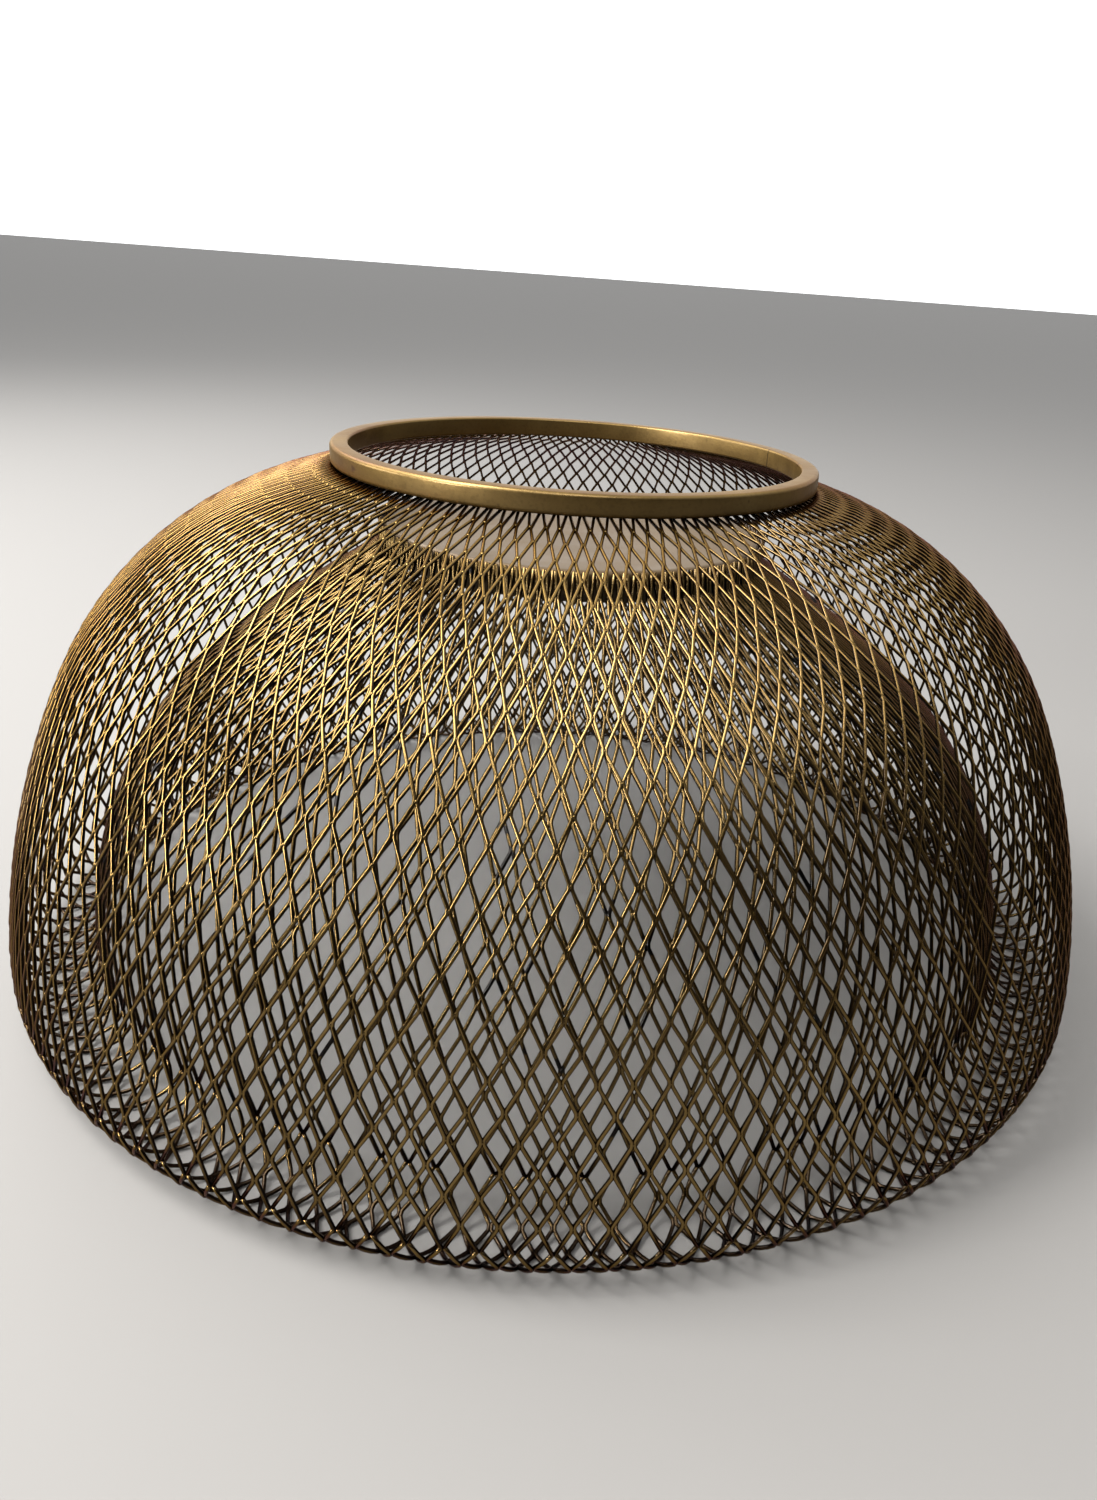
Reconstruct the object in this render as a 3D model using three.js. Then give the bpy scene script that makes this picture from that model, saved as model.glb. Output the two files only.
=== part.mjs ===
// Double-walled wire-mesh fruit bowl, standing upside down on its rim with the foot ring up.
// Millimetres, +Z up. The origin is the centre of the circle on which the rim rests.
// Every piece is a body of revolution about Z. The wire mesh is a closed sheet as thick as its
// fused wire crossings, in three lengths: the outer wall, the fold that forms the rim, and the
// inner wall, whose end wraps the edge of the bowl's floor plate.
import * as THREE from 'three';

// ---------------------------------------------------------------- driving dimensions
const FACETS_ROUND = 64; // facets round every piece
const SEAT_GAP = 0.3; // clearance kept where two pieces touch

// Foot ring: a rolled bar with rounded corners, closed by a butt weld.
const RING_OUTER_RADIUS = 64;
const RING_WIDTH = 4.6;
const RING_HEIGHT = 5.1;
const RING_CORNER_RADIUS = 1;
const RING_CORNER_STEPS = 2;

// Wire mesh, measured over its crossings.
const MESH_THICKNESS = 1.3;
const FOLD_STEPS = 8; // even, so that a row of corners lies on the lowest circle

// A wall is a chain of arcs in the r-z plane, walked from its upper end down to the fold.
// A heading is the angle below the horizontal, so 90 degrees points straight down.
const OUTER_WALL_HEADING = 8;
const OUTER_WALL_RUNS = [
  { radius: 91.5, sweep: 57, steps: 6 }, // shoulder
  { radius: 203, sweep: 18, steps: 2 }, // flank
  { radius: 70, sweep: 7, steps: 1 }, // turn into the fold
];
const INNER_WALL_HEADING = 90;
const INNER_WALL_RUNS = [
  { length: 4.6, steps: 1 }, // collar against the plate's skirt
  { radius: 2.6, sweep: -56, steps: 2 }, // turn outwards below the skirt
  { length: 41, steps: 1 }, // straight cone
  { radius: 99, sweep: 42, steps: 4 }, // shoulder
  { radius: 81, sweep: 14, steps: 2 }, // flank
];

// Floor plate: a shallow pressed tray, its skirt turned down in this pose.
const PLATE_RADIUS = 50.6;
const PLATE_SHEET = 0.8;
const PLATE_SKIRT = 7.4;
const PLATE_EDGE_RADIUS = 1.6;
const PLATE_EDGE_STEPS = 2;

// ---------------------------------------------------------------- profiles
const radians = THREE.MathUtils.degToRad;

// Walks a chain of runs and returns its stations, each with a radius r, a height z and a heading.
function walkRuns(r, z, headingDegrees, runs) {
  let heading = radians(headingDegrees);
  const stations = [{ r, z, heading }];
  for (const run of runs) {
    const turn = radians(run.sweep ?? 0) / run.steps;
    const chord = run.radius
      ? 2 * run.radius * Math.abs(Math.sin(turn / 2))
      : run.length / run.steps;
    for (let step = 0; step < run.steps; step += 1) {
      r += chord * Math.cos(heading + turn / 2);
      z -= chord * Math.sin(heading + turn / 2);
      heading += turn;
      stations.push({ r, z, heading });
    }
  }
  return stations;
}

// The closed outline of a sheet of even thickness that follows the stations.
function sheetOutline(stations, thickness) {
  const offsetTo = (side) => ({ r, z, heading }) => new THREE.Vector2(
    r + side * Math.sin(heading) * thickness / 2,
    z + side * Math.cos(heading) * thickness / 2,
  );
  const innerFace = stations.map(offsetTo(-1));
  const outerFace = stations.map(offsetTo(1)).reverse();
  return [...innerFace, ...outerFace, innerFace[0].clone()];
}

// Adds a quarter-round corner about a centre, from one angle to the next.
function corner(centreR, centreZ, radius, fromDegrees, toDegrees, steps) {
  const points = [];
  for (let step = 0; step <= steps; step += 1) {
    const angle = radians(THREE.MathUtils.lerp(fromDegrees, toDegrees, step / steps));
    points.push(new THREE.Vector2(
      centreR + radius * Math.cos(angle),
      centreZ + radius * Math.sin(angle),
    ));
  }
  return points;
}

// Turns an outline in (r, z) about the Z axis.
function turned(outline) {
  const geometry = new THREE.LatheGeometry(outline, FACETS_ROUND);
  return geometry.rotateX(Math.PI / 2);
}

// ---------------------------------------------------------------- layout
// Both walls are walked from height 0 first, to find how far each reaches out and down.
const ringMiddleRadius = RING_OUTER_RADIUS - RING_WIDTH / 2;
const collarRadius = PLATE_RADIUS + SEAT_GAP + MESH_THICKNESS / 2;
const outerEnd = walkRuns(ringMiddleRadius, 0, OUTER_WALL_HEADING, OUTER_WALL_RUNS).at(-1);
const innerEnd = walkRuns(collarRadius, 0, INNER_WALL_HEADING, INNER_WALL_RUNS).at(-1);

const foldRadius = (outerEnd.r - innerEnd.r) / 2;
const foldCentreRadius = (outerEnd.r + innerEnd.r) / 2;
const foldTop = foldRadius + MESH_THICKNESS / 2;
const wallFoot = foldTop + SEAT_GAP;
const outerWallTop = wallFoot - outerEnd.z;
const innerWallTop = wallFoot - innerEnd.z;
const ringBottom = outerWallTop + MESH_THICKNESS / 2 + SEAT_GAP;
const plateTop = innerWallTop;

// ---------------------------------------------------------------- pieces
const ringBronze = new THREE.MeshStandardMaterial({
  color: 0x6f5a33, roughness: 0.42, metalness: 0.9,
});
const wireBronze = new THREE.MeshStandardMaterial({
  color: 0xa07a3c, roughness: 0.38, metalness: 0.9,
});
const plateBronze = new THREE.MeshStandardMaterial({
  color: 0x9c8463, roughness: 0.5, metalness: 0.8,
});

function footRingOutline() {
  const middleZ = ringBottom + RING_HEIGHT / 2;
  const inR = RING_WIDTH / 2 - RING_CORNER_RADIUS;
  const inZ = RING_HEIGHT / 2 - RING_CORNER_RADIUS;
  const outline = [];
  for (const [sideR, sideZ, fromDegrees] of [[1, -1, -90], [1, 1, 0], [-1, 1, 90], [-1, -1, 180]]) {
    outline.push(...corner(
      ringMiddleRadius + sideR * inR,
      middleZ + sideZ * inZ,
      RING_CORNER_RADIUS,
      fromDegrees,
      fromDegrees + 90,
      RING_CORNER_STEPS,
    ));
  }
  return [...outline, outline[0].clone()];
}

function outerWallOutline() {
  const stations = walkRuns(ringMiddleRadius, outerWallTop, OUTER_WALL_HEADING, OUTER_WALL_RUNS);
  return sheetOutline(stations, MESH_THICKNESS);
}

function innerWallOutline() {
  const stations = walkRuns(collarRadius, innerWallTop, INNER_WALL_HEADING, INNER_WALL_RUNS);
  return sheetOutline(stations, MESH_THICKNESS);
}

// The fold is one half turn, from the foot of the outer wall under to that of the inner wall.
function rimFoldOutline() {
  const start = foldCentreRadius + foldRadius;
  const halfTurn = [{ radius: foldRadius, sweep: 180, steps: FOLD_STEPS }];
  return sheetOutline(walkRuns(start, foldTop, 90, halfTurn), MESH_THICKNESS);
}

function floorPlateOutline() {
  const skirtFoot = plateTop - PLATE_SKIRT;
  const edgeR = PLATE_RADIUS - PLATE_EDGE_RADIUS;
  const edgeZ = plateTop - PLATE_EDGE_RADIUS;
  const innerEdge = PLATE_EDGE_RADIUS - PLATE_SHEET;
  return [
    new THREE.Vector2(0, plateTop - PLATE_SHEET),
    ...corner(edgeR, edgeZ, innerEdge, 90, 0, PLATE_EDGE_STEPS),
    new THREE.Vector2(PLATE_RADIUS - PLATE_SHEET, skirtFoot),
    new THREE.Vector2(PLATE_RADIUS, skirtFoot),
    ...corner(edgeR, edgeZ, PLATE_EDGE_RADIUS, 0, 90, PLATE_EDGE_STEPS),
    new THREE.Vector2(0, plateTop),
  ];
}

const bowl = new THREE.Group();

function addPiece(name, outline, material) {
  const piece = new THREE.Mesh(turned(outline), material);
  piece.name = name;
  bowl.add(piece);
}

addPiece('foot_ring', footRingOutline(), ringBronze);
addPiece('outer_wall_mesh', outerWallOutline(), wireBronze);
addPiece('rim_fold_mesh', rimFoldOutline(), wireBronze);
addPiece('inner_wall_mesh', innerWallOutline(), wireBronze);
addPiece('floor_plate', floorPlateOutline(), plateBronze);

export default bowl;
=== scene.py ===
"""Looks for the double-walled wire-mesh bowl: real wires, foot ring, floor plate, light and camera.

Metres, +Z up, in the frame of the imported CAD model. The bowl stands upside down on its rim.
The mesh is one sleeve of zigzag wires. Neighbouring wires touch side by side at every crossing,
where they are fused, and the sleeve runs down the outer wall, turns under at the rim and climbs
the inner wall to a collar round the floor plate.
"""
from math import ceil, cos, pi, radians, sin

import bpy
import numpy as np
from mathutils import Matrix, Vector


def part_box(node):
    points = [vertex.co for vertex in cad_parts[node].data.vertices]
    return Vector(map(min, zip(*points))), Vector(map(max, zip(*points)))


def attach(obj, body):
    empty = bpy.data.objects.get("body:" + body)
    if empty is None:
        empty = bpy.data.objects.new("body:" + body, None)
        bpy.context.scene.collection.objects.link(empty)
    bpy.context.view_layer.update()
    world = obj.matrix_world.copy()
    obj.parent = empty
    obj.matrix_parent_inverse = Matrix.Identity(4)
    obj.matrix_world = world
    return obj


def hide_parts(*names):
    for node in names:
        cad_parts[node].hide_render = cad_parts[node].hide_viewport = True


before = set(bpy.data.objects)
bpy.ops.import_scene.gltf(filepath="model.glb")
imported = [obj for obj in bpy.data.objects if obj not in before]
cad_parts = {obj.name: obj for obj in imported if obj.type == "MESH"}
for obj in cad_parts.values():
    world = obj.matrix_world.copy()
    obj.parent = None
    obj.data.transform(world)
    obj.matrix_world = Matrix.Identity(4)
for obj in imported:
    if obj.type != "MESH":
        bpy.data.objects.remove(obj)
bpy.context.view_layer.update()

MM = 0.001
ring_low, ring_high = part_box("foot_ring")
outer_low, outer_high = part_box("outer_wall_mesh")
fold_low, fold_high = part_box("rim_fold_mesh")
inner_low, inner_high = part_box("inner_wall_mesh")
plate_low, plate_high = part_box("floor_plate")

# ---------------------------------------------------------------- dimensions
MESH_THICKNESS = 1.3 * MM  # over the fused crossings, as the CAD sheets have it
RING_WIDTH = 4.6 * MM
RING_CORNER = 1.0 * MM  # outside
RING_INNER_CORNER = 0.6 * MM
SEAM_AZIMUTH = 23  # butt weld of the ring
RING_FACETS = 240
SEAT_RISE = 9 * MM  # over this length the wires rise from the wall up to the ring
SEAT_GAP = 0.3 * MM  # between the collar and the plate's skirt
PLATE_SHEET = 0.8 * MM
PLATE_EDGE = 1.6 * MM
PLATE_FACETS = 192

# The walls' arcs, as (radius or length, sweep in degrees), walked down from the top.
OUTER_HEADING = 8
OUTER_ARCS = [(91.5 * MM, 57), (203 * MM, 18), (70 * MM, 7)]
INNER_HEADING = 90
INNER_ARCS = [(4.6 * MM, 0), (2.6 * MM, -56), (41 * MM, 0), (99 * MM, 42), (81 * MM, 14)]
PATH_STEP = 0.4 * MM  # between stations along an arc

CELLS_ROUND = 134  # diamonds in one row, the same all the way down the sleeve
CELL_SIDE = 7.1 * MM  # from one crossing to the next along a wire
BOND_LENGTH = 1.1 * MM  # how far two wires run together at a crossing
BOND_SPREAD = 0.3 * MM  # how far each wire's axis lies beside the crossing
BOND_LIFT = 0.12 * MM  # how far one wire rides over the other
WIRE_RADIUS_TOP = 0.37 * MM
WIRE_RADIUS_RIM = 0.48 * MM
WIRE_SIDES = 6
LUMP = (0.52 * MM, 0.75 * MM, 0.53 * MM)  # fused metal at a crossing: across, along, outwards
LUMP_SIDES = 6
LUMP_WAIST = 0.866  # radius at half the height of a ball of unit radius
LUMP_SMALLEST = 0.8  # share of the full size
JITTER = 0.13 * MM  # unevenness of the crossings
DRIFT = 0.45 * MM  # slow wander of the columns
DRIFT_WAVES = 3  # round the bowl
DRIFT_TWIST = 40 * MM  # down the sleeve for one radian of the wander
SEED = 7


# ---------------------------------------------------------------- the sleeve's meridian
def walk(r, z, heading, arcs):
    """Dense stations (r, z, heading) along a chain of arcs; heading is degrees below level."""
    stations = [(r, z, radians(heading))]
    angle = radians(heading)
    for size, sweep in arcs:
        length = size * abs(radians(sweep)) if sweep else size
        count = max(2, ceil(length / PATH_STEP))
        turn = radians(sweep) / count
        chord = 2 * size * abs(sin(turn / 2)) if sweep else size / count
        for _ in range(count):
            r += chord * cos(angle + turn / 2)
            z -= chord * sin(angle + turn / 2)
            angle += turn
            stations.append((r, z, angle))
    return np.array(stations)


def sleeve_path():
    """The meridian from under the ring, round the fold, to the plate: three arrays of stations."""
    half = MESH_THICKNESS / 2
    ring_middle = ring_high.x - RING_WIDTH / 2
    outer_top = outer_high.z - half * cos(radians(OUTER_HEADING))
    outer = walk(ring_middle, outer_top, OUTER_HEADING, OUTER_ARCS)
    away = np.clip((outer[:, 0] - ring_middle) / SEAT_RISE, 0, 1)
    outer[:, 1] += (ring_low.z - outer_top) * (1 - away) ** 2
    collar = plate_high.x + SEAT_GAP + half
    inner = walk(collar, inner_high.z, INNER_HEADING, INNER_ARCS)
    fold_radius = (outer[-1, 0] - inner[-1, 0]) / 2
    fold = walk(outer[-1, 0], fold_radius + half, 90, [(fold_radius, 180)])
    inner = inner[::-1].copy()
    inner[:, 2] += pi  # the inner wall is walked upwards
    return outer, fold, inner


class Meridian:
    """Looks up radius, height and outward normal at a distance along a chain of stations."""

    def __init__(self, stations):
        self.stations = stations
        steps = np.hypot(np.diff(stations[:, 0]), np.diff(stations[:, 1]))
        self.along = np.concatenate([[0], np.cumsum(steps)])
        self.length = self.along[-1]

    def at(self, s):
        r = np.interp(s, self.along, self.stations[:, 0])
        z = np.interp(s, self.along, self.stations[:, 1])
        heading = np.interp(s, self.along, self.stations[:, 2])
        return r, z, np.sin(heading), np.cos(heading)


def row_positions(path, start, end):
    """Distances of the rows of crossings, nearer together where the cells are wide."""
    rows = [start]
    while rows[-1] < end:
        half_width = pi * path.at(rows[-1])[0] / CELLS_ROUND
        rows.append(rows[-1] + (CELL_SIDE**2 - half_width**2) ** 0.5)
    rows = np.array(rows)
    return start + (rows - start) * (end - start) / (rows[-1] - start)


# ---------------------------------------------------------------- meshes
def make_object(name, vertices, faces, material):
    mesh = bpy.data.meshes.new(name)
    mesh.from_pydata(vertices, [], faces)
    mesh.validate()
    mesh.polygons.foreach_set("use_smooth", [True] * len(mesh.polygons))
    mesh.materials.append(material)
    piece = bpy.data.objects.new(name, mesh)
    bpy.context.scene.collection.objects.link(piece)
    return piece


def enter(piece, cad_node):
    """Fixes a piece to the bowl and hides the CAD node it stands for."""
    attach(piece, "root")
    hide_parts(cad_node)


def sweep_tubes(lines, normals, radii, sides):
    """Closed tubes along many lines at once. lines and normals are (wires, points, 3)."""
    tangents = np.gradient(lines, axis=1)
    tangents /= np.linalg.norm(tangents, axis=2, keepdims=True)
    normals = normals - (normals * tangents).sum(2, keepdims=True) * tangents
    normals /= np.linalg.norm(normals, axis=2, keepdims=True)
    binormals = np.cross(tangents, normals)
    turn = np.arange(sides) * 2 * pi / sides
    offsets = (np.cos(turn)[:, None] * normals[:, :, None, :]
               + np.sin(turn)[:, None] * binormals[:, :, None, :])
    vertices = lines[:, :, None, :] + radii[:, :, None, None] * offsets
    wires, points = lines.shape[:2]
    index = np.arange(wires * points * sides).reshape(wires, points, sides)
    after = np.roll(index, -1, axis=2)
    quads = np.stack([index[:, :-1], after[:, :-1], after[:, 1:], index[:, 1:]], axis=-1)
    starts = index[:, 0, ::-1]
    ends = index[:, -1, :]
    faces = quads.reshape(-1, 4).tolist() + starts.tolist() + ends.tolist()
    return vertices.reshape(-1, 3), faces


def turned(name, outline, segments, material):
    """A body of revolution from a closed outline of (r, z) points. Points on the axis are shared."""
    vertices, rings = [], []
    for r, z in outline:
        if r == 0:
            rings.append([len(vertices)] * segments)
            vertices.append((0, 0, z))
        else:
            rings.append([len(vertices) + k for k in range(segments)])
            angles = [2 * pi * k / segments for k in range(segments)]
            vertices.extend((r * cos(a), r * sin(a), z) for a in angles)
    faces = []
    for lower, upper in zip(rings, rings[1:] + rings[:1]):
        if len(set(lower)) == 1 and len(set(upper)) == 1:
            continue
        for k in range(segments):
            after = (k + 1) % segments
            corners = [lower[k], lower[after], upper[after], upper[k]]
            faces.append(list(dict.fromkeys(corners)))
    return make_object(name, vertices, faces, material)


def arc(r, z, radius, start, end, steps=6):
    """Points of an arc about (r, z), from start to end degrees."""
    angles = [radians(start + (end - start) * k / steps) for k in range(steps + 1)]
    return [(r + radius * cos(a), z + radius * sin(a)) for a in angles]


# ---------------------------------------------------------------- wire mesh
def crossings(rows):
    """Unevenness of every crossing: how far it sits off its place, across and along the sleeve."""
    random = np.random.RandomState(SEED)
    nodes = 2 * CELLS_ROUND
    across = random.normal(0, JITTER, (len(rows), nodes))
    along = random.normal(0, JITTER, (len(rows), nodes))
    along[0] = along[-1] = 0
    column = np.arange(nodes) * pi / CELLS_ROUND
    across += DRIFT * np.sin(DRIFT_WAVES * column[None, :] + rows[:, None] / DRIFT_TWIST)
    return across, along


def wire_knots(rows, first, last, uneven):
    """Where the wires bend: each wire meets its left neighbour in one row, its right in the next.

    Returns (knots, wires) arrays: distance along the sleeve, offset across, angle and lift.
    """
    across, along = uneven
    nodes = 2 * CELLS_ROUND
    wire = np.arange(nodes)
    knots = []
    for row in range(first, last + 1):
        meets_left = (wire - row) % 2 == 0
        node = np.where(meets_left, wire, wire + 1)
        side = np.where(meets_left, 1, -1)
        offset = across[row, node % nodes] + side * BOND_SPREAD
        distance = rows[row] + along[row, node % nodes]
        at_end = row in (first, last)
        for end in (1,) if row == first else (-1,) if row == last else (-1, 1):
            half_bond = 0 if at_end else end * BOND_LENGTH / 2
            knots.append((distance + half_bond, offset, node * pi / CELLS_ROUND, -side * BOND_LIFT))
    return [np.array(values) for values in zip(*knots)]


def subdivide(knots, per_side):
    """Adds even steps along each side of a cell; the short bonds stay whole."""
    count = len(knots)
    places = []
    for k in range(count - 1):
        parts = per_side if k % 2 == 0 else 1
        places.extend(k + j / parts for j in range(parts))
    places = np.array(places + [count - 1])
    lower = np.minimum(places.astype(int), count - 2)
    share = (places - lower)[:, None]
    return (knots[lower] * (1 - share) + knots[lower + 1] * share).T


def lay_on_sleeve(path, distance, offset, angle, lift):
    """Points on the sleeve and its normals there, for arrays of wires by points."""
    r, z, normal_r, normal_z = path.at(np.clip(distance, 0, path.length))
    around = angle + offset / r
    out_r, out_z = r + lift * normal_r, z + lift * normal_z
    points = np.stack([out_r * np.cos(around), out_r * np.sin(around), out_z], axis=-1)
    normals = np.stack([normal_r * np.cos(around), normal_r * np.sin(around), normal_z], -1)
    return points, normals


def lump_shape():
    """A small closed ball of unit radius: its points, and its faces as rows of point numbers."""
    sides = LUMP_SIDES
    points, faces = [(0, 0, 1)], []
    for height in (0.5, -0.5):
        for k in range(sides):
            a = 2 * pi * (k + (height < 0) / 2) / sides
            points.append((cos(a) * LUMP_WAIST, sin(a) * LUMP_WAIST, height))
    points.append((0, 0, -1))
    for k in range(sides):
        upper, upper_next = 1 + k, 1 + (k + 1) % sides
        lower, lower_next = upper + sides, upper_next + sides
        faces += [(0, upper, upper_next), (upper, lower, upper_next)]
        faces += [(upper_next, lower, lower_next), (lower, len(points) - 1, lower_next)]
    return np.array(points), np.array(faces)


def lump_frames(path, distance, offset, angle):
    """Centres of the lumps and, for each, its axes across, along and outwards."""
    centres, normals = lay_on_sleeve(path, distance, offset, angle, 0)
    ahead, _ = lay_on_sleeve(path, distance + 0.1 * MM, offset, angle, 0)
    down = ahead - centres
    down -= (down * normals).sum(1, keepdims=True) * normals
    down /= np.linalg.norm(down, axis=1, keepdims=True)
    return centres, np.stack([np.cross(normals, down), down, normals], axis=1)


def build_lumps(name, path, rows, first, last, uneven, material):
    """One drop of fused metal at every crossing from row first up to row last."""
    across, along = uneven
    columns = np.arange(2 * CELLS_ROUND)
    row, column = [a.ravel() for a in np.meshgrid(np.arange(first, last), columns, indexing="ij")]
    keep = (row + column) % 2 == 0
    row, column = row[keep], column[keep]
    distance, angle = rows[row] + along[row, column], column * pi / CELLS_ROUND
    centres, axes = lump_frames(path, distance, across[row, column], angle)
    random = np.random.RandomState(SEED + first)
    grown = random.uniform(LUMP_SMALLEST, 1.0, len(row))[:, None, None]
    points, triangles = lump_shape()
    local = points[None] * np.array(LUMP) * grown
    vertices = centres[:, None, :] + np.einsum("npk,nkx->npx", local, axes)
    faces = (triangles[None] + np.arange(len(row))[:, None, None] * len(points)).reshape(-1, 3)
    return make_object(name, vertices.reshape(-1, 3).tolist(), faces.tolist(), material)


def build_wires(name, path, outer_end, knots, per_side, material):
    """One part of the sleeve as tubes, thicker from the ring to the foot of the outer wall."""
    distance, offset, angle, lift = [subdivide(values, per_side) for values in knots]
    lines, normals = lay_on_sleeve(path, distance, offset, angle, lift)
    share = np.clip(distance / outer_end, 0, 1)
    radii = WIRE_RADIUS_TOP + (WIRE_RADIUS_RIM - WIRE_RADIUS_TOP) * share
    vertices, faces = sweep_tubes(lines, normals, radii, WIRE_SIDES)
    return make_object(name, vertices.tolist(), faces, material)


def build_sleeve(outer_finish, inner_shaded_finish):
    """Wires and joints of all three parts. The walls bend little, so a cell's side stays whole."""
    outer, fold, inner = sleeve_path()
    path = Meridian(np.concatenate([outer, fold, inner]))
    outer_end = path.along[len(outer) - 1]
    fold_end = path.along[len(outer) + len(fold)]
    parts = [
        ("outer_wall", 0.0, outer_end, 1, outer_finish),
        ("rim_fold", outer_end, fold_end, 3, outer_finish),
        ("inner_wall", fold_end, path.length, 1, inner_shaded_finish),
    ]
    sections = [row_positions(path, start, end) for _, start, end, _, _ in parts]
    rows = np.concatenate([sections[0], sections[1][1:], sections[2][1:]])
    uneven = crossings(rows)
    first = 0
    for (part, _, _, per_side, finish), section in zip(parts, sections):
        last = first + len(section) - 1
        knots = wire_knots(rows, first, last, uneven)
        wires = build_wires(part + "_wires", path, outer_end, knots, per_side, finish)
        enter(wires, part + "_mesh")
        if part != "rim_fold":
            joints = build_lumps(part + "_joints", path, rows, first + 1, last, uneven, finish)
            enter(joints, part + "_mesh")
        first = last


# ---------------------------------------------------------------- ring and plate
def build_ring(material):
    outside, inside = ring_high.x, ring_high.x - RING_WIDTH
    low, high, c, d = ring_low.z, ring_high.z, RING_CORNER, RING_INNER_CORNER
    outline = [
        *arc(outside - c, low + c, c, -90, 0),
        *arc(outside - c, high - c, c, 0, 90),
        *arc(inside + d, high - d, d, 90, 180),
        *arc(inside + d, low + d, d, 180, 270),
    ]
    ring = turned("foot_ring_bar", outline, RING_FACETS, material)
    enter(ring, "foot_ring")


def build_plate(material):
    radius, top, foot = plate_high.x, plate_high.z, plate_low.z
    outline = [
        (0, top - PLATE_SHEET),
        *arc(radius - PLATE_EDGE, top - PLATE_EDGE, PLATE_EDGE - PLATE_SHEET, 90, 0),
        (radius - PLATE_SHEET, foot),
        (radius, foot),
        *arc(radius - PLATE_EDGE, top - PLATE_EDGE, PLATE_EDGE, 0, 90),
        (0, top),
    ]
    plate = turned("floor_plate_tray", outline, PLATE_FACETS, material)
    enter(plate, "floor_plate")


# ---------------------------------------------------------------- materials
def new_material(name):
    material = bpy.data.materials.new(name)
    material.use_nodes = True
    tree = material.node_tree
    tree.nodes.clear()
    output = tree.nodes.new("ShaderNodeOutputMaterial")
    shader = tree.nodes.new("ShaderNodeBsdfPrincipled")
    tree.links.new(shader.outputs["BSDF"], output.inputs["Surface"])
    return material, tree, shader


def noise(tree, scale, detail=3.0, roughness=0.5):
    coordinates = tree.nodes.new("ShaderNodeTexCoord")
    texture = tree.nodes.new("ShaderNodeTexNoise")
    texture.inputs["Scale"].default_value = scale
    texture.inputs["Detail"].default_value = detail
    texture.inputs["Roughness"].default_value = roughness
    tree.links.new(coordinates.outputs["Object"], texture.inputs["Vector"])
    return texture.outputs["Fac"]


def ramp(tree, value, stops):
    node = tree.nodes.new("ShaderNodeValToRGB")
    elements = node.color_ramp.elements
    elements[0].position, elements[1].position = stops[0][0], stops[-1][0]
    elements[0].color = (*stops[0][1], 1)
    elements[1].color = (*stops[-1][1], 1)
    for position, colour in stops[1:-1]:
        elements.new(position).color = (*colour, 1)
    tree.links.new(value, node.inputs["Fac"])
    return node.outputs["Color"]


def span(tree, value, low, high, from_low=0.3, from_high=0.7):
    node = tree.nodes.new("ShaderNodeMapRange")
    node.inputs["From Min"].default_value = from_low
    node.inputs["From Max"].default_value = from_high
    node.inputs["To Min"].default_value = low
    node.inputs["To Max"].default_value = high
    tree.links.new(value, node.inputs["Value"])
    return node.outputs["Result"]


def mix_colour(tree, factor, first, second):
    node = tree.nodes.new("ShaderNodeMix")
    node.data_type = "RGBA"
    tree.links.new(factor, node.inputs["Factor"])
    tree.links.new(first, node.inputs["A"])
    if isinstance(second, tuple):
        node.inputs["B"].default_value = (*second, 1)
    else:
        tree.links.new(second, node.inputs["B"])
    return node.outputs["Result"]


def bump(tree, shader, height, strength, distance):
    node = tree.nodes.new("ShaderNodeBump")
    node.inputs["Strength"].default_value = strength
    node.inputs["Distance"].default_value = distance
    tree.links.new(height, node.inputs["Height"])
    tree.links.new(node.outputs["Normal"], shader.inputs["Normal"])


def vector_node(tree, operation, first):
    node = tree.nodes.new("ShaderNodeVectorMath")
    node.operation = operation
    tree.links.new(first, node.inputs[0])
    return node


def dot(tree, vector, direction):
    """The length of a vector along a fixed direction."""
    node = vector_node(tree, "DOT_PRODUCT", vector)
    node.inputs[1].default_value = direction
    return node.outputs["Value"]


def arithmetic(tree, operation, first, second=None):
    node = tree.nodes.new("ShaderNodeMath")
    node.operation = operation
    tree.links.new(first, node.inputs[0])
    if second is not None:
        tree.links.new(second, node.inputs[1])
    return node.outputs["Value"]


def crest(tree, low, high):
    """1 on a wire's outward and inward crests, 0 on its flanks, judged from the bowl's centre; the
    flanks get painted shade.
    """
    place = tree.nodes.new("ShaderNodeTexCoord").outputs["Object"]
    outward = vector_node(tree, "NORMALIZE", place).outputs["Vector"]
    normal = tree.nodes.new("ShaderNodeNewGeometry").outputs["Normal"]
    product = vector_node(tree, "DOT_PRODUCT", normal)
    tree.links.new(outward, product.inputs[1])
    size = arithmetic(tree, "ABSOLUTE", product.outputs["Value"])
    return span(tree, size, 0, 1, low, high)


def scaled(stops, factor):
    return [(place, tuple(channel * factor for channel in colour)) for place, colour in stops]


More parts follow.
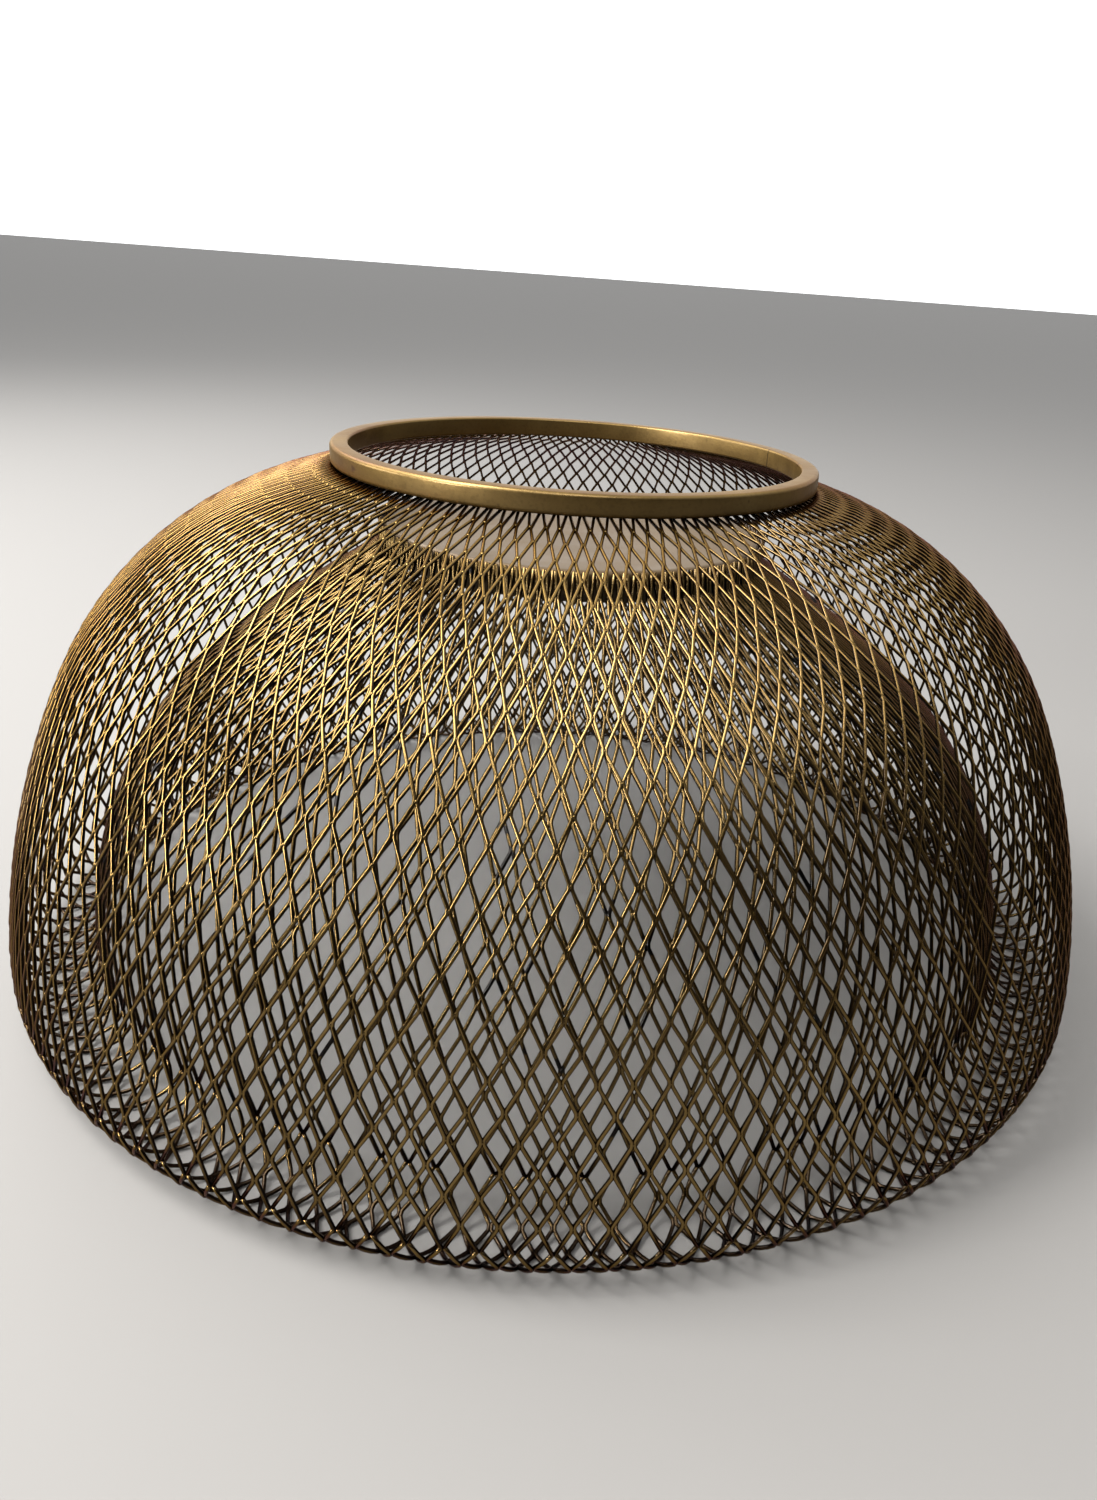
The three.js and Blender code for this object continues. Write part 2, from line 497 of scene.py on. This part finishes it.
def wire_bronze(name, painted_shade_scale, chipped):
    """Antique gold on the wires' crests, with painted shade in dark brown on their flanks; the inner
    wall's copy is darkened all over as painted shade, and chipped.
    """
    material, tree, shader = new_material(name)
    broad = noise(tree, 28, 4)
    # painted shade: below 1 the scale darkens both gold and flank colours, for the inner wall's copy
    gold = ramp(tree, broad, scaled([
        (0.32, (0.12, 0.074, 0.02)),
        (0.5, (0.15, 0.094, 0.027)),
        (0.68, (0.195, 0.127, 0.04)),
    ], painted_shade_scale))
    # painted shade: a dark brown for the wires' flanks
    painted_flank_shade = ramp(tree, broad, scaled([
        (0.32, (0.011, 0.0053, 0.0009)),
        (0.68, (0.02, 0.01, 0.0017)),
    ], painted_shade_scale))
    speck = noise(tree, 900, 2)
    gold = mix_colour(tree, span(tree, speck, 0, 0.25, 0.5, 0.68), gold, (0.07, 0.042, 0.013))
    # the crests keep the gold and the flanks take the painted shade
    colour = mix_colour(tree, crest(tree, 0.5, 0.97), painted_flank_shade, gold)
    if chipped:
        chips = span(tree, noise(tree, 120, 1), 0, 1, 0.69, 0.7)
        colour = mix_colour(tree, chips, colour, (0.006, 0.005, 0.004))
    tree.links.new(colour, shader.inputs["Base Color"])
    shader.inputs["Metallic"].default_value = 1.0
    shader.inputs["Specular Tint"].default_value = (0.4, 0.26, 0.1, 1)
    shader.inputs["Coat Weight"].default_value = 0.2
    shader.inputs["Coat Roughness"].default_value = 0.16
    tree.links.new(span(tree, speck, 0.18, 0.25), shader.inputs["Roughness"])
    bump(tree, shader, noise(tree, 1300, 2), 0.1, 0.0001)
    return material


def seam_line(tree, azimuth):
    """1 on a hairline across the ring at one azimuth."""
    a = radians(azimuth)
    place = tree.nodes.new("ShaderNodeTexCoord").outputs["Object"]
    off_line = arithmetic(tree, "ABSOLUTE", dot(tree, place, (sin(a), -cos(a), 0)))
    near = span(tree, off_line, 1, 0, 0.08 * MM, 0.3 * MM)
    this_side = span(tree, dot(tree, place, (cos(a), sin(a), 0)), 0, 1, 0, 10 * MM)
    return arithmetic(tree, "MULTIPLY", near, this_side)


def ring_bronze():
    material, tree, shader = new_material("ring_bronze")
    broad = noise(tree, 35, 4)
    colour = ramp(tree, broad, [
        (0.3, (0.09, 0.055, 0.016)),
        (0.5, (0.12, 0.076, 0.025)),
        (0.7, (0.155, 0.103, 0.038)),
    ])
    speck = noise(tree, 1200, 3)
    colour = mix_colour(tree, span(tree, speck, 0, 0.25, 0.5, 0.7), colour, (0.04, 0.024, 0.008))
    stain = span(tree, noise(tree, 210, 2), 0, 0.75, 0.68, 0.74)
    colour = mix_colour(tree, stain, colour, (0.04, 0.022, 0.008))
    seam = seam_line(tree, SEAM_AZIMUTH)
    colour = mix_colour(tree, seam, colour, (0.02, 0.012, 0.004))
    tree.links.new(colour, shader.inputs["Base Color"])
    shader.inputs["Metallic"].default_value = 0.85
    shader.inputs["Specular Tint"].default_value = (0.5, 0.36, 0.18, 1)
    shader.inputs["Coat Weight"].default_value = 0.15
    shader.inputs["Coat Roughness"].default_value = 0.25
    tree.links.new(span(tree, noise(tree, 160, 4), 0.3, 0.42), shader.inputs["Roughness"])
    bump(tree, shader, noise(tree, 700, 4), 0.18, 0.0002)
    return material


def plate_bronze():
    material, tree, shader = new_material("plate_bronze")
    broad = noise(tree, 24, 5)
    colour = ramp(tree, broad, [
        (0.3, (0.06, 0.036, 0.012)),
        (0.5, (0.075, 0.046, 0.017)),
        (0.7, (0.092, 0.058, 0.023)),
    ])
    tree.links.new(colour, shader.inputs["Base Color"])
    shader.inputs["Metallic"].default_value = 0.6
    tree.links.new(span(tree, noise(tree, 90, 4), 0.4, 0.55), shader.inputs["Roughness"])
    bump(tree, shader, noise(tree, 260, 4), 0.2, 0.0003)
    return material


def pale_floor():
    material, _, shader = new_material("pale_floor")
    shader.inputs["Base Color"].default_value = (0.138, 0.132, 0.124, 1)
    shader.inputs["Roughness"].default_value = 0.9
    return material


# ---------------------------------------------------------------- stage, light and camera
FLOOR_HALF = 20.0
LAMP_DISTANCE = 1.3
LAMP_AIM = (0, 0, 0.06)
ROOM_LIGHT = 2.6
ROOM_PALE_SIDE = (0, 0.75, 0.66)  # the direction in which the room is palest


def build_stage():
    size = FLOOR_HALF
    floor = make_object(
        "floor",
        [(-size, -size, 0), (size, -size, 0), (size, size, 0), (-size, size, 0)],
        [(0, 1, 2, 3)],
        pale_floor(),
    )


def lamp(name, azimuth, elevation, size, radiance):
    """A rectangular lamp facing the bowl, as bright per square metre as asked.

    The azimuth is counted from +X towards +Y and the elevation from level, both in degrees.
    """
    a, e = radians(azimuth), radians(elevation)
    away = Vector((cos(e) * cos(a), cos(e) * sin(a), sin(e)))
    data = bpy.data.lights.new(name, "AREA")
    data.shape = "RECTANGLE"
    data.size, data.size_y = size
    data.energy = radiance * pi * size[0] * size[1]
    light = bpy.data.objects.new(name, data)
    light.location = Vector(LAMP_AIM) + LAMP_DISTANCE * away
    light.rotation_euler = away.to_track_quat("Z", "Y").to_euler()
    bpy.context.scene.collection.objects.link(light)


def build_world():
    """A room that is pale above and at the back, and dark in front, where the viewer stands."""
    world = bpy.data.worlds.new("soft_room")
    world.use_nodes = True
    tree = world.node_tree
    direction = tree.nodes.new("ShaderNodeTexCoord").outputs["Generated"]
    towards = dot(tree, direction, ROOM_PALE_SIDE)
    colour = ramp(tree, span(tree, towards, 0, 1, -1, 1), [
        (0.0, (0.02, 0.018, 0.015)),
        (0.4, (0.03, 0.028, 0.025)),
        (0.58, (0.15, 0.15, 0.15)),
        (0.8, (0.66, 0.67, 0.68)),
        (1.0, (0.8, 0.81, 0.82)),
    ])
    background = tree.nodes["Background"]
    tree.links.new(colour, background.inputs["Color"])
    background.inputs["Strength"].default_value = ROOM_LIGHT
    bpy.context.scene.world = world


def build_lights():
    lamp("window_left_high", 180, 60, (0.5, 0.5), 34)
    lamp("window_left_front", -156, 46, (0.45, 0.45), 32)
    lamp("window_left_low", 172, 14, (0.6, 0.4), 16)
    lamp("window_front_low", -148, 15, (0.2, 0.4), 66)
    lamp("window_back", 138, 37, (0.9, 0.5), 8.5)
    lamp("front_high", -90, 62, (0.5, 0.5), 11)
    build_world()


# The camera's place is counted in foot-ring radii from the bowl's axis and foot.
CAMERA_BACK = 4.841
CAMERA_HEIGHT = 2.866
CAMERA_PITCH = 23.64
CAMERA_ROLL = 4.24
CAMERA_YAW = 3.24
CAMERA_LENS = 27.2
CAMERA_SHIFT = (-0.0477, 0.0101)


def build_camera():
    unit = ring_high.x
    pitch, roll, yaw = radians(CAMERA_PITCH), radians(CAMERA_ROLL), radians(CAMERA_YAW)
    forward = Vector((sin(yaw) * cos(pitch), cos(yaw) * cos(pitch), -sin(pitch)))
    level = Vector((cos(yaw), -sin(yaw), 0))
    above = level.cross(forward)
    right = level * cos(roll) + above * sin(roll)
    up = above * cos(roll) - level * sin(roll)
    data = bpy.data.cameras.new("camera")
    data.sensor_width = 36
    data.lens = CAMERA_LENS
    data.shift_x, data.shift_y = CAMERA_SHIFT
    data.clip_start = 0.01
    data.clip_end = 60
    camera = bpy.data.objects.new("camera", data)
    rotation = Matrix((right, up, -forward)).transposed().to_4x4()
    place = Vector((0, -CAMERA_BACK * unit, CAMERA_HEIGHT * unit))
    camera.matrix_world = Matrix.Translation(place) @ rotation
    bpy.context.scene.collection.objects.link(camera)
    bpy.context.scene.camera = camera
    bpy.context.scene.view_settings.view_transform = "Standard"


build_camera()
build_lights()
build_stage()
build_sleeve(
    wire_bronze("wire_bronze", painted_shade_scale=1.0, chipped=False),
    # the inner wall's copy, its colours scaled to 0.7 as painted shade, with chips
    wire_bronze("wire_bronze_inner_shaded", painted_shade_scale=0.7, chipped=True),
)
build_ring(ring_bronze())
build_plate(plate_bronze())
